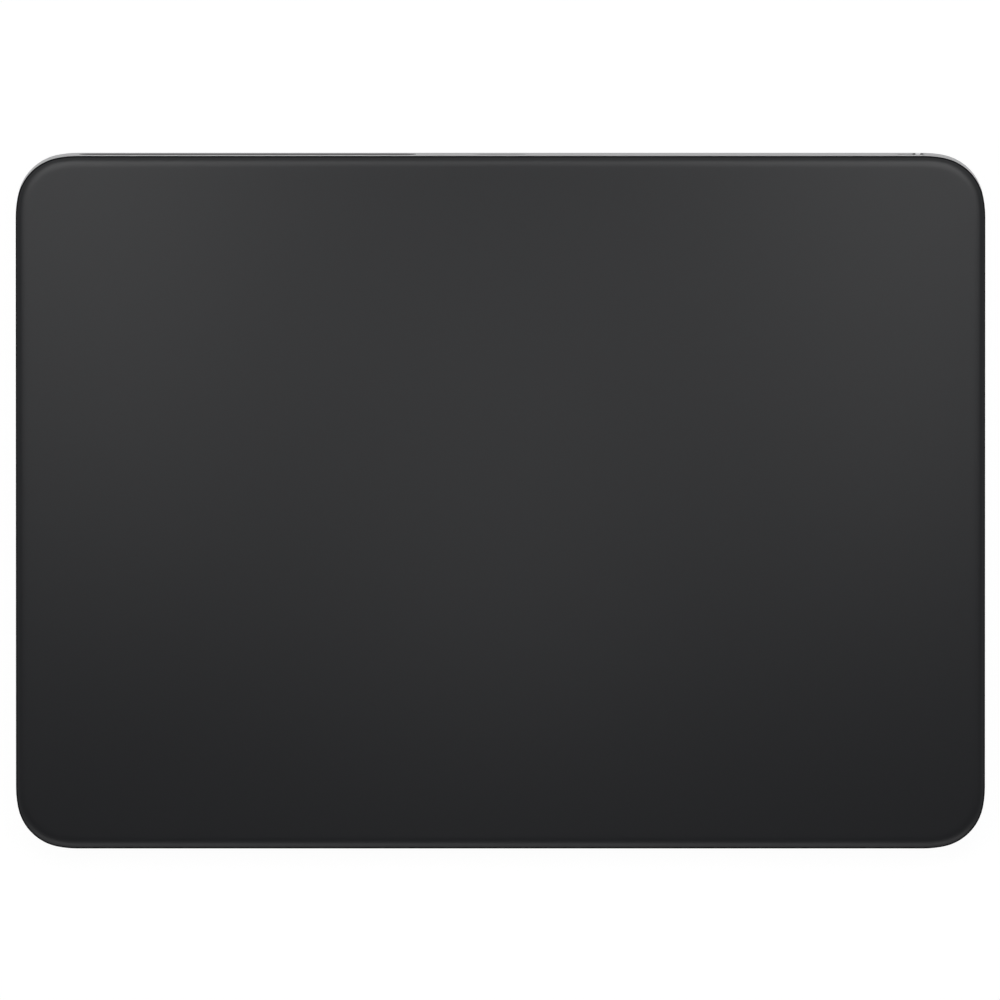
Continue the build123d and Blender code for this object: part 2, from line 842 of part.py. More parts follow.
switch_top = feature_depth - switch_body_rise
switch_body_v = switch_body_rear_v - switch_body_depth / 2
groove_left = nub_x - switch_travel - tongue_length / 2 - tongue_clearance
groove_right = nub_x + tongue_length / 2 + tongue_clearance
with BuildPart() as switch_body:
    with BuildSketch(deck_at(switch_top, switch_body_x, switch_body_v)):
        Rectangle(switch_body_length, switch_body_depth)
    extrude(amount=switch_top - service_depth)
    with BuildSketch(wall_at(switch_body_rear_v, (groove_left + groove_right) / 2)):
        Rectangle(groove_right - groove_left, tongue_height + 2 * tongue_clearance)
    extrude(amount=tongue_depth, mode=Mode.SUBTRACT)
save(switch_body, "switch_body")

switch_board_x = switch_body_x + (switch_board_right - switch_board_left) / 2
switch_board_v = switch_body_rear_v - switch_board_depth / 2
with BuildPart() as switch_board:
    with BuildSketch(deck_at(service_depth)):
        with Locations((switch_board_x, switch_board_v)):
            Rectangle(switch_board_left + switch_board_right, switch_board_depth)
        with Locations((switch_boss_x, switch_boss_v)):
            small_round(hole_radius, Mode.SUBTRACT)
    extrude(amount=-port_board_thickness)
save(switch_board, "switch_board")

switch_screw = screw_set([deck_at(service_bottom, switch_boss_x, switch_boss_v)], service_screw_length)
save(switch_screw, "switch_screw")

switch_ribbon_left = port_board_right - switch_ribbon_tab
switch_ribbon_right = switch_body_x - switch_board_left + switch_ribbon_tab
switch_ribbon = plate(
    deck_at(service_depth - ribbon_thickness, (switch_ribbon_left + switch_ribbon_right) / 2, switch_board_v),
    switch_ribbon_right - switch_ribbon_left,
    switch_ribbon_width,
    ribbon_thickness,
)
save(switch_ribbon, "switch_ribbon")


# Click actuator: a weight with magnets on bow springs, under flat coils

haptic_plate_bottom = web_bottom + haptic_plate_thickness
armature_top = haptic_plate_bottom + coil_thickness + coil_gap
armature_bottom = armature_top + armature_thickness

with BuildPart() as haptic_frame:
    with BuildSketch(deck_at(web_bottom)):
        with Locations((0, haptic_centre)):
            Rectangle(haptic_length, haptic_depth)
        with Locations(*haptic_ears):
            Rectangle(haptic_ear_length, haptic_ear_width)
            small_round(hole_radius, Mode.SUBTRACT)
    extrude(amount=-haptic_plate_thickness)
    with BuildSketch(deck_at(haptic_plate_bottom)):
        with Locations(*[(side * (haptic_length - haptic_wall) / 2, haptic_centre) for side in (-1, 1)]):
            Rectangle(haptic_wall, haptic_depth)
    extrude(amount=-(armature_bottom - haptic_plate_bottom))
save(haptic_frame, "haptic_frame")

haptic_screws = screw_set(
    [deck_at(haptic_plate_bottom, x, v) for x, v in haptic_ears], haptic_plate_thickness + web_bite
)
save(haptic_screws, "haptic_screws")

coil_outlines = []
for inset, corner in ((0, coil_corner), (coil_winding, coil_inner_corner)):
    with BuildSketch() as coil_outline:
        Rectangle(coil_length - 2 * inset, coil_depth - 2 * inset)
        chamfer(coil_outline.vertices(), length=corner)
    coil_outlines.append(coil_outline.sketch)

with BuildPart() as haptic_coils:
    with BuildSketch(deck_at(haptic_plate_bottom, 0, haptic_centre)):
        with Locations(*[(side * coil_length * coil_spread_share, 0) for side in (-1, 1)]):
            add(coil_outlines[0])
            add(coil_outlines[1], mode=Mode.SUBTRACT)
    extrude(amount=-coil_thickness)
save(haptic_coils, "haptic_coils")

with BuildPart() as haptic_armature:
    with BuildSketch(deck_at(armature_top, 0, haptic_centre)):
        Rectangle(armature_length, armature_depth)
    extrude(amount=-armature_thickness)
    with BuildSketch(deck_at(armature_top, 0, haptic_centre)):
        with GridLocations(magnet_spacing, magnet_spacing, magnet_count, 1):
            Rectangle(magnet_length, magnet_depth)
    extrude(amount=-magnet_thickness, mode=Mode.SUBTRACT)
save(haptic_armature, "haptic_armature")

with BuildPart() as haptic_magnets:
    with BuildSketch(deck_at(armature_top, 0, haptic_centre)):
        with GridLocations(magnet_spacing, magnet_spacing, magnet_count, 1):
            Rectangle(magnet_length, magnet_depth)
    extrude(amount=-magnet_thickness)
save(haptic_magnets, "haptic_magnets")

spring_outer_x = haptic_length / 2 - haptic_wall
spring_inner_x = armature_length / 2
spring_end_v = armature_depth / 2
for side, name in ((-1, "left"), (1, "right")):
    spring_points = [
        (side * spring_outer_x, -spring_end_v),
        (side * spring_outer_x, haptic_spring_foot - spring_end_v),
        (side * (spring_inner_x + haptic_spring_thickness), -haptic_spring_foot),
        (side * (spring_inner_x + haptic_spring_thickness), haptic_spring_foot),
        (side * spring_outer_x, spring_end_v - haptic_spring_foot),
        (side * spring_outer_x, spring_end_v),
    ]
    with BuildPart() as haptic_spring:
        with BuildSketch(deck_at(armature_top, 0, haptic_centre)):
            with BuildLine():
                Polyline(*spring_points)
                offset(
                    amount=haptic_spring_thickness,
                    side=Side.LEFT if side > 0 else Side.RIGHT,
                    kind=Kind.INTERSECTION,
                )
            make_face()
        extrude(amount=-haptic_spring_height)
    save(haptic_spring, "haptic_spring_" + name)

haptic_ribbon_down_v = haptic_rear_v + battery_front_gap / 2
haptic_ribbon_up_v = boss_row_v
haptic_ribbon_points = [
    (haptic_rear_v - haptic_ribbon_tab, -haptic_plate_bottom - ribbon_thickness),
    (haptic_ribbon_down_v, -haptic_plate_bottom - ribbon_thickness),
    (haptic_ribbon_down_v, -battery_bottom - ribbon_thickness),
    (haptic_ribbon_up_v, -battery_bottom - ribbon_thickness),
    (haptic_ribbon_up_v, -board_bottom - ribbon_thickness),
    (board_front_v + lead_overlap, -board_bottom - ribbon_thickness),
]
haptic_ribbon_x = board_right - haptic_ribbon_inset
haptic_ribbon = ribbon(side_section(haptic_ribbon_x), haptic_ribbon_points, haptic_ribbon_width)
save(haptic_ribbon, "haptic_ribbon")
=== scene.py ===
import math

import bpy
import numpy as np
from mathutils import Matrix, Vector


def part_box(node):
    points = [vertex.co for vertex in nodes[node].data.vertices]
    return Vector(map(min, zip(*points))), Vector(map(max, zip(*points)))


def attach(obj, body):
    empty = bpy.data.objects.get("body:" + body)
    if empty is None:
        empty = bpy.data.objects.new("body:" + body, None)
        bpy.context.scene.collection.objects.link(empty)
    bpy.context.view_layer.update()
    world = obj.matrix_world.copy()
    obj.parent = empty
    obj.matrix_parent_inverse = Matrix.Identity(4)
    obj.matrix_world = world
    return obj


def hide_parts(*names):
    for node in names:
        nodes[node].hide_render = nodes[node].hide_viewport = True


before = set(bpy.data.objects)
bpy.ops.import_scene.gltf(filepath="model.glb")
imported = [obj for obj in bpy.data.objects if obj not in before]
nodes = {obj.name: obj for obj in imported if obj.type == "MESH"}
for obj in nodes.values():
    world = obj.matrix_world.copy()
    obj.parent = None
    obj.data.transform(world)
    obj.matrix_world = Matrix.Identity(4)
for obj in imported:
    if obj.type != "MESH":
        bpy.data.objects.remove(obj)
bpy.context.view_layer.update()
print("frame loaded:", len(nodes), "nodes")

mm = 0.001


# The pad's own frame: x to the right, v up the slope, depth down from the glass

pad = {
    "width": 160.0 * mm,
    "depth": 114.95 * mm,
    "frontHeight": 4.95 * mm,
    "rearHeight": 11.05 * mm,
    "rimHeight": 0.6 * mm,
    "cornerRadius": 8.3 * mm,
    "leadRadius": 17.3 * mm,
    "leadAngle": math.radians(11.0),
}
wallReach = pad["rearHeight"] - pad["rimHeight"]
heightRise = pad["rearHeight"] - pad["frontHeight"]
slope = (pad["depth"] - math.sqrt(pad["depth"] ** 2 - 4 * wallReach * heightRise)) / (2 * wallReach)
tilt = math.atan(slope)
wallLean = wallReach * slope
deckLength = (pad["depth"] - wallLean) / math.cos(tilt)
deckOrigin = Vector((0, -wallLean / 2, (pad["frontHeight"] + pad["rearHeight"]) / 2))


def deckPoint(x, v, depth):
    along = Vector((0, math.cos(tilt), math.sin(tilt)))
    up = Vector((0, -math.sin(tilt), math.cos(tilt)))
    return deckOrigin + Vector((x, 0, 0)) + along * v - up * depth


def arcPoints(centre, radius, start, sweep, count):
    angles = np.linspace(start, start + sweep, count + 1)
    return [(centre[0] + radius * math.cos(a), centre[1] + radius * math.sin(a)) for a in angles]


def divided(start, end, steps):
    # the points between two corners, without the corners themselves
    return [
        (start[0] + (end[0] - start[0]) * k / steps, start[1] + (end[1] - start[1]) * k / steps)
        for k in range(1, steps)
    ]


def padOutline(inset, leadSteps=6, bendSteps=28, sideSteps=12):
    # the rounded rectangle whose corners ease in and out, anticlockwise from the right side
    halfWidth, halfLength = pad["width"] / 2 - inset, deckLength / 2 - inset
    lead, bend, angle = pad["leadRadius"] - inset, pad["cornerRadius"] - inset, pad["leadAngle"]
    step = pad["leadRadius"] - pad["cornerRadius"]
    run = lead - step * (math.cos(angle) - math.sin(angle))
    sideX, sideY = halfWidth - lead, halfLength - run
    middle = (sideX + step * math.cos(angle), sideY + step * math.sin(angle))
    ending = (halfWidth - run, halfLength - lead)
    quarter = arcPoints((sideX, sideY), lead, 0, angle, leadSteps)
    quarter += arcPoints(middle, bend, angle, math.pi / 2 - 2 * angle, bendSteps)[1:]
    quarter += arcPoints(ending, lead, math.pi / 2 - angle, angle, leadSteps)[1:]
    points = []
    for turn in range(4):
        flipX = -1 if turn in (1, 2) else 1
        flipY = -1 if turn in (2, 3) else 1
        corner = [(x * flipX, y * flipY) for x, y in quarter]
        if flipX * flipY < 0:
            corner.reverse()
        if points:
            points += divided(points[-1], corner[0], sideSteps)
        points += corner
    points += divided(points[-1], points[0], sideSteps)
    return points


# Meshes from rings of points

def meshPiece(name, vertices, faces, smooth=True):
    mesh = bpy.data.meshes.new(name)
    mesh.from_pydata([tuple(v) for v in vertices], [], faces)
    mesh.update()
    for polygon in mesh.polygons:
        polygon.use_smooth = smooth
    piece = bpy.data.objects.new(name, mesh)
    bpy.context.scene.collection.objects.link(piece)
    return piece


def ringPiece(name, stacks, sharpAngle):
    # each stack of rings is one closed solid; its first ring is anticlockwise seen from outside
    vertices, faces = [], []
    for rings in stacks:
        count, first = len(rings[0]), len(vertices)
        vertices += [point for ring in rings for point in ring]
        faces.append(tuple(range(first, first + count)))
        for level in range(len(rings) - 1):
            base = first + level * count
            for k in range(count):
                nextK = (k + 1) % count
                faces.append((base + k, base + count + k, base + count + nextK, base + nextK))
        last = first + (len(rings) - 1) * count
        faces.append(tuple(reversed(range(last, last + count))))
    piece = meshPiece(name, vertices, faces)
    piece.data.set_sharp_from_angle(angle=math.radians(sharpAngle))
    return piece


def circleRing(centre, radius, height, steps):
    angles = np.linspace(0, 2 * math.pi, steps, endpoint=False)
    x, y = centre
    return [Vector((x + radius * math.cos(a), y + radius * math.sin(a), height)) for a in angles]


# Nodes that several materials and the world use

def addNode(tree, kind, links=None, **values):
    # a node with its own settings, its socket values and its links in one call
    node = tree.nodes.new(kind)
    for key, value in values.items():
        if hasattr(node, key):
            setattr(node, key, value)
        else:
            node.inputs[key.replace("_", " ")].default_value = value
    for key, source in (links or {}).items():
        tree.links.new(source, node.inputs[key])
    return node


def maths(tree, operation, first, second=None):
    # the second input is a number, another socket or not used
    node = addNode(tree, "ShaderNodeMath", {0: first}, operation=operation)
    if isinstance(second, float):
        node.inputs[1].default_value = second
    elif second is not None:
        tree.links.new(second, node.inputs[1])
    return node.outputs[0]


def ramp(tree, source, start, end, low, high, smooth=False):
    # follows the source from low to high, each a number or another socket
    ranged = addNode(tree, "ShaderNodeMapRange", {"Value": source}, From_Min=start, From_Max=end)
    if smooth:
        ranged.interpolation_type = "SMOOTHSTEP"
    for label, value in (("To Min", low), ("To Max", high)):
        if isinstance(value, float):
            ranged.inputs[label].default_value = value
        else:
            tree.links.new(value, ranged.inputs[label])
    return ranged.outputs[0]


# Shared shader effects

def newGroup(name, inputs, outputs):
    group = bpy.data.node_groups.new(name, "ShaderNodeTree")
    for label, kind, value in inputs:
        socket = group.interface.new_socket(name=label, in_out="INPUT", socket_type=kind)
        if value is not None:
            socket.default_value = value
    for label, kind in outputs:
        group.interface.new_socket(name=label, in_out="OUTPUT", socket_type=kind)
    inlet = group.nodes.new("NodeGroupInput")
    outlet = group.nodes.new("NodeGroupOutput")
    return group, inlet, outlet


def buildGrain():
    # fine tooth of a blasted, etched or moulded skin, as a mask and a normal
    group, inlet, outlet = newGroup(
        "fineGrain",
        [
            ("Vector", "NodeSocketVector", None),
            ("Scale", "NodeSocketFloat", 4000.0),
            ("Height", "NodeSocketFloat", 0.000004),
        ],
        [("Mask", "NodeSocketFloat"), ("Normal", "NodeSocketVector")],
    )
    noise = addNode(
        group,
        "ShaderNodeTexNoise",
        {"Vector": inlet.outputs["Vector"], "Scale": inlet.outputs["Scale"]},
        Detail=3.0,
        Roughness=0.6,
    )
    bump = addNode(
        group,
        "ShaderNodeBump",
        {"Height": noise.outputs["Fac"], "Distance": inlet.outputs["Height"]},
        Strength=1.0,
    )
    group.links.new(noise.outputs["Fac"], outlet.inputs["Mask"])
    group.links.new(bump.outputs["Normal"], outlet.inputs["Normal"])
    return group


mottleShape = {"finerTimes": 7.0, "finerShare": 0.35}


def buildMottle():
    # slow unevenness of a finish: large soft patches mixed with smaller ones
    group, inlet, outlet = newGroup(
        "softMottle",
        [("Vector", "NodeSocketVector", None), ("Scale", "NodeSocketFloat", 60.0)],
        [("Mask", "NodeSocketFloat")],
    )
    large = addNode(
        group,
        "ShaderNodeTexNoise",
        {"Vector": inlet.outputs["Vector"], "Scale": inlet.outputs["Scale"]},
        Detail=2.0,
        Roughness=0.5,
    )
    finerScale = maths(group, "MULTIPLY", inlet.outputs["Scale"], mottleShape["finerTimes"])
    small = addNode(
        group,
        "ShaderNodeTexNoise",
        {"Vector": inlet.outputs["Vector"], "Scale": finerScale},
        Detail=3.0,
        Roughness=0.6,
    )
    mixed = addNode(group, "ShaderNodeMix", {2: large.outputs["Fac"], 3: small.outputs["Fac"]})
    mixed.inputs[0].default_value = mottleShape["finerShare"]
    group.links.new(mixed.outputs[0], outlet.inputs["Mask"])
    return group


grainGroup = buildGrain()
mottleGroup = buildMottle()
print("shader groups built")


# Materials

skinShape = {"maskRange": (0.25, 0.75), "ior": 1.5, "specular": 0.5, "lineBump": 0.6}


def newMaterial(name):
    material = bpy.data.materials.new(name)
    material.use_nodes = True
    tree = material.node_tree
    shader = tree.nodes["Principled BSDF"]
    place = tree.nodes.new("ShaderNodeTexCoord")
    return material, tree, shader, place.outputs["Object"]


def between(tree, mask, low, high):
    # a value or colour that follows a mask from low to high
    if isinstance(low, tuple):
        mix = addNode(tree, "ShaderNodeMix", data_type="RGBA")
        tree.links.new(mask, mix.inputs[0])
        mix.inputs[6].default_value = (*low, 1)
        mix.inputs[7].default_value = (*high, 1)
        return mix.outputs[2]
    return ramp(tree, mask, *skinShape["maskRange"], low, high)


def grainAt(tree, place, scale, height):
    grain = tree.nodes.new("ShaderNodeGroup")
    grain.node_tree = grainGroup
    tree.links.new(place, grain.inputs["Vector"])
    grain.inputs["Scale"].default_value = scale
    grain.inputs["Height"].default_value = height
    return grain


def mottleAt(tree, place, scale):
    mottle = tree.nodes.new("ShaderNodeGroup")
    mottle.node_tree = mottleGroup
    tree.links.new(place, mottle.inputs["Vector"])
    mottle.inputs["Scale"].default_value = scale
    return mottle.outputs["Mask"]


def skin(name, settings):
    # the general finish: two close tones, uneven gloss and a fine tooth
    material, tree, shader, place = newMaterial(name)
    mask = mottleAt(tree, place, settings["mottle"])
    grain = grainAt(tree, place, settings["grain"], settings["tooth"])
    tone = between(tree, mask, settings["dark"], settings["light"])
    gloss = between(tree, grain.outputs["Mask"], *settings["roughness"])
    tree.links.new(tone, shader.inputs["Base Color"])
    tree.links.new(gloss, shader.inputs["Roughness"])
    tree.links.new(grain.outputs["Normal"], shader.inputs["Normal"])
    shader.inputs["Metallic"].default_value = settings.get("metallic", 0.0)
    shader.inputs["IOR"].default_value = skinShape["ior"]
    specular = settings.get("specular", skinShape["specular"])
    shader.inputs["Specular IOR Level"].default_value = specular
    if "sheen" in settings:
        shader.inputs["Sheen Weight"].default_value = settings["sheen"]
        shader.inputs["Sheen Roughness"].default_value = settings["sheenRoughness"]
    return material


finishes = {
    "black_glass": {
        "dark": (0.0050, 0.0056, 0.0074), "light": (0.0062, 0.0068, 0.0090),
        "roughness": (0.37, 0.43), "mottle": 25.0, "grain": 9000.0, "tooth": 0.0000012,
        "specular": 0.61,
    },
    "ground_edge": {
        "dark": (0.0036, 0.0040, 0.0050), "light": (0.0046, 0.0050, 0.0062),
        "roughness": (0.72, 0.82), "mottle": 200.0, "grain": 8000.0, "tooth": 0.000003,
        "specular": 0.06,
    },
    "case_aluminium": {
        "dark": (0.415, 0.415, 0.425), "light": (0.45, 0.45, 0.46), "roughness": (0.36, 0.46),
        "mottle": 40.0, "grain": 7000.0, "tooth": 0.000008, "metallic": 1.0,
    },
    "window_plastic": {
        "dark": (0.020, 0.020, 0.022), "light": (0.028, 0.028, 0.030), "roughness": (0.54, 0.64),
        "mottle": 50.0, "grain": 6000.0, "tooth": 0.000006, "specular": 0.22,
    },
    "cover_film": {
        "dark": (0.50, 0.50, 0.51), "light": (0.55, 0.55, 0.56), "roughness": (0.44, 0.54),
        "mottle": 30.0, "grain": 5000.0, "tooth": 0.000008, "metallic": 0.65,
    },
    "foot_rubber": {
        "dark": (0.060, 0.060, 0.063), "light": (0.080, 0.080, 0.084), "roughness": (0.62, 0.78),
        "mottle": 160.0, "grain": 3200.0, "tooth": 0.00002, "sheen": 0.15, "sheenRoughness": 0.5,
    },
    "plate_steel": {
        "dark": (0.48, 0.48, 0.47), "light": (0.56, 0.56, 0.55), "roughness": (0.30, 0.42),
        "mottle": 60.0, "grain": 3000.0, "tooth": 0.000006, "metallic": 1.0,
    },
    "screw_steel": {
        "dark": (0.34, 0.34, 0.35), "light": (0.42, 0.42, 0.43), "roughness": (0.26, 0.36),
        "mottle": 300.0, "grain": 6000.0, "tooth": 0.000004, "metallic": 1.0,
    },
    "spring_steel": {
        "dark": (0.40, 0.41, 0.43), "light": (0.47, 0.48, 0.50), "roughness": (0.24, 0.34),
        "mottle": 200.0, "grain": 5000.0, "tooth": 0.000003, "metallic": 1.0,
    },
    "tinned_steel": {
        "dark": (0.60, 0.59, 0.56), "light": (0.68, 0.67, 0.64), "roughness": (0.28, 0.40),
        "mottle": 180.0, "grain": 4000.0, "tooth": 0.000005, "metallic": 1.0,
    },
    "tape": {
        "dark": (0.018, 0.018, 0.019), "light": (0.026, 0.026, 0.027), "roughness": (0.55, 0.70),
        "mottle": 120.0, "grain": 2500.0, "tooth": 0.00001,
    },
    "chip_resin": {
        "dark": (0.020, 0.020, 0.022), "light": (0.030, 0.030, 0.032), "roughness": (0.50, 0.62),
        "mottle": 400.0, "grain": 7000.0, "tooth": 0.000005,
    },
    "port_plastic": {
        "dark": (0.022, 0.022, 0.023), "light": (0.030, 0.030, 0.031), "roughness": (0.38, 0.48),
        "mottle": 300.0, "grain": 6000.0, "tooth": 0.000004,
    },
    # painted shade: this near-black stands for the shade in the switch's slot and on the nub's ends
    "slide_plastic": {
        "dark": (0.006, 0.006, 0.007), "light": (0.010, 0.010, 0.011), "roughness": (0.50, 0.62),
        "mottle": 300.0, "grain": 6000.0, "tooth": 0.000004, "specular": 0.2,
    },
    "contact_gold": {
        "dark": (0.72, 0.50, 0.20), "light": (0.80, 0.58, 0.27), "roughness": (0.20, 0.30),
        "mottle": 400.0, "grain": 8000.0, "tooth": 0.000002, "metallic": 1.0,
    },
    # partly the nub's own light tone and partly a painted highlight, so its crest shows bright from
    # above
    "switch_nub": {
        "dark": (0.80, 0.80, 0.81), "light": (0.86, 0.86, 0.87), "roughness": (0.42, 0.52),
        "mottle": 300.0, "grain": 7000.0, "tooth": 0.000006, "metallic": 0.3,
    },
    "green_mark": {
        "dark": (0.03, 0.34, 0.06), "light": (0.04, 0.40, 0.08), "roughness": (0.40, 0.50),
        "mottle": 400.0, "grain": 6000.0, "tooth": 0.000004,
    },
    "magnet": {
        "dark": (0.52, 0.52, 0.53), "light": (0.60, 0.60, 0.61), "roughness": (0.16, 0.26),
        "mottle": 200.0, "grain": 5000.0, "tooth": 0.000002, "metallic": 1.0,
    },
}


def stripes(tree, place, axis, pitch, share):
    # parallel lines across one axis: 1 on the line, 0 beside it
    split = tree.nodes.new("ShaderNodeSeparateXYZ")
    tree.links.new(place, split.inputs[0])
    part = maths(tree, "FRACT", maths(tree, "DIVIDE", split.outputs[axis], pitch))
    return maths(tree, "LESS_THAN", part, share)


def linedSkin(name, settings):
    # a skin with fine lines on it: copper tracks, electrodes, windings
    material, tree, shader, place = newMaterial(name)
    mask = mottleAt(tree, place, settings["mottle"])
    grain = grainAt(tree, place, settings["grain"], settings["tooth"])
    ground = between(tree, mask, settings["dark"], settings["light"])
    lines = stripes(tree, place, *settings["lines"][0])
    for more in settings["lines"][1:]:
        lines = maths(tree, "MAXIMUM", lines, stripes(tree, place, *more))
    drawn = addNode(tree, "ShaderNodeMix", data_type="RGBA")
    tree.links.new(lines, drawn.inputs[0])
    tree.links.new(ground, drawn.inputs[6])
    drawn.inputs[7].default_value = (*settings["lineTone"], 1)
    tree.links.new(drawn.outputs[2], shader.inputs["Base Color"])
    gloss = between(tree, grain.outputs["Mask"], *settings["roughness"])
    tree.links.new(gloss, shader.inputs["Roughness"])
    ridge = addNode(
        tree,
        "ShaderNodeBump",
        {"Height": lines, "Normal": grain.outputs["Normal"]},
        Strength=skinShape["lineBump"],
        Distance=settings["relief"],
    )
    tree.links.new(ridge.outputs["Normal"], shader.inputs["Normal"])
    shader.inputs["Metallic"].default_value = settings.get("metallic", 0.0)
    return material


# each entry of lines is an axis, the pitch of the lines and the line's share of the pitch

linedFinishes = {
    "sensor_laminate": {
        "dark": (0.020, 0.075, 0.040), "light": (0.026, 0.090, 0.050),
        "lineTone": (0.050, 0.130, 0.080), "lines": [(0, 5.2 * mm, 0.07), (1, 5.2 * mm, 0.07)],
        "roughness": (0.34, 0.46),
        "mottle": 60.0, "grain": 4000.0, "tooth": 0.000004, "relief": 0.00001,
    },
    "circuit_board": {
        "dark": (0.010, 0.045, 0.030), "light": (0.014, 0.060, 0.040),
        "lineTone": (0.030, 0.105, 0.070), "lines": [(0, 0.9 * mm, 0.22), (1, 2.3 * mm, 0.12)],
        "roughness": (0.30, 0.42),
        "mottle": 200.0, "grain": 4000.0, "tooth": 0.000004, "relief": 0.00002,
    },
    "flex_film": {
        "dark": (0.36, 0.17, 0.035), "light": (0.44, 0.22, 0.05), "lineTone": (0.28, 0.12, 0.03),
        "lines": [(0, 0.5 * mm, 0.4)], "roughness": (0.26, 0.38),
        "mottle": 200.0, "grain": 3000.0, "tooth": 0.000004, "relief": 0.00001,
    },
    "coil_copper": {
        "dark": (0.62, 0.25, 0.12), "light": (0.72, 0.31, 0.16), "lineTone": (0.36, 0.13, 0.06),
        "lines": [(0, 0.24 * mm, 0.25)], "roughness": (0.26, 0.38), "metallic": 1.0,
        "mottle": 300.0, "grain": 4000.0, "tooth": 0.000003, "relief": 0.00004,
    },
    "battery_pouch": {
        "dark": (0.30, 0.30, 0.31), "light": (0.40, 0.40, 0.41), "lineTone": (0.26, 0.26, 0.27),
        "lines": [(0, 11.3 * mm, 0.03)], "roughness": (0.30, 0.46), "metallic": 0.8,
        "mottle": 90.0, "grain": 900.0, "tooth": 0.00002, "relief": 0.00002,
    },
}

materials = {name: skin(name, settings) for name, settings in finishes.items()}
materials.update({name: linedSkin(name, settings) for name, settings in linedFinishes.items()})
print("materials built:", len(materials))


# CAD nodes take the finish of their own slot

for name, node in nodes.items():
    old = node.data.materials[0].name if node.data.materials else ""
    slot = old.split(".")[0]
    if slot in materials:
        node.data.materials.clear()
        node.data.materials.append(materials[slot])
    else:
        print("no finish for", name, "slot", old)


# Touch glass: one smooth plate whose upper edge falls away ever faster

glassShape = {
    "thickness": 1.0 * mm,
    "sink": 0.065 * mm,
    "edgeGap": 0.03 * mm,
    "edgeWidth": 2.6 * mm,
    "edgeDrop": 0.53 * mm,
    "edgePower": 3.6,
    "edgeSteps": 23,
    "rollRadius": 0.10 * mm,
    "rollSteps": 5,
    "lowerChamfer": 0.12 * mm,
    "sharpAngle": 42.0,
}


def glassRings(shape):
    # pairs of inset and depth, from the flat top outwards and down
    rings = []
    innerInset = shape["rollRadius"]
    for k in range(shape["edgeSteps"] + 1):
        reach = k / shape["edgeSteps"]
        inset = shape["edgeWidth"] + (innerInset - shape["edgeWidth"]) * reach
        rings.append((inset, shape["sink"] + shape["edgeDrop"] * reach ** shape["edgePower"]))
    startAngle = math.atan(shape["edgeDrop"] * shape["edgePower"] / shape["edgeWidth"])
    radius = shape["rollRadius"] / (1 - math.sin(startAngle))
    for k in range(1, shape["rollSteps"] + 1):
        angle = startAngle + (math.pi / 2 - startAngle) * k / shape["rollSteps"]
        inset = radius * (1 - math.sin(angle))
        depth = shape["edgeDrop"] + radius * (math.cos(startAngle) - math.cos(angle))
        rings.append((inset, shape["sink"] + depth))
    rings.append((0, shape["thickness"] - shape["lowerChamfer"]))
    rings.append((shape["lowerChamfer"], shape["thickness"]))
    return rings


def liftedRing(inset, depth):
    return [deckPoint(x, v, depth) for x, v in padOutline(inset + glassShape["edgeGap"])]


glassStack = [liftedRing(inset, depth) for inset, depth in glassRings(glassShape)]
touchGlass = ringPiece("glass_plate", [glassStack], glassShape["sharpAngle"])
touchGlass.data.materials.append(materials["black_glass"])
touchGlass.data.materials.append(materials["ground_edge"])

# the top face and all but the last band of the curve stay glossy, and the rest is ground
glossyFaces = 1 + (glassShape["edgeSteps"] - 1) * len(glassStack[0])
for polygon in touchGlass.data.polygons[glossyFaces:]:
    polygon.material_index = 1
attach(touchGlass, "body")
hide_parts("touch_glass")
print("glass plate made")


# Feet: turned pads with a soft rim and a shallow moulded ring underneath

footShape = {
    "radius": 4.8 * mm,
    "rim": 0.22 * mm,
    "rimSteps": 6,
    "ringRadius": 3.4 * mm,
    "ringWidth": 0.5 * mm,
    "ringDepth": 0.08 * mm,
    "ringFloor": 0.6,
    "steps": 72,
    "sharpAngle": 50.0,
}


def footPiece(name, node):
    low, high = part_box(node)
    centre = ((low.x + high.x) / 2, (low.y + high.y) / 2)
    rim, radius = footShape["rim"], footShape["radius"]
    groove, half, cut = footShape["ringRadius"], footShape["ringWidth"] / 2, footShape["ringDepth"]
    floorHalf = half * footShape["ringFloor"]
    profile = [(radius - rim / 2, high.z), (radius, high.z - rim / 4)]
    for k in range(footShape["rimSteps"] + 1):
        angle = math.pi / 2 * k / footShape["rimSteps"]
        profile.append((radius - rim * (1 - math.cos(angle)), low.z + rim * (1 - math.sin(angle))))
    profile += [(groove + half, low.z), (groove + floorHalf, low.z + cut)]
    profile += [(groove - floorHalf, low.z + cut), (groove - half, low.z)]
    rings = [circleRing(centre, r, z, footShape["steps"]) for r, z in profile]
    return ringPiece(name, [rings], footShape["sharpAngle"])


for corner in ("front_left", "front_right", "rear_left", "rear_right"):
    footPad = footPiece("foot_pad_" + corner, "foot_" + corner)
    footPad.data.materials.append(materials["foot_rubber"])
    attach(footPad, "foot_" + corner)
    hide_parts("foot_" + corner)
print("feet made")
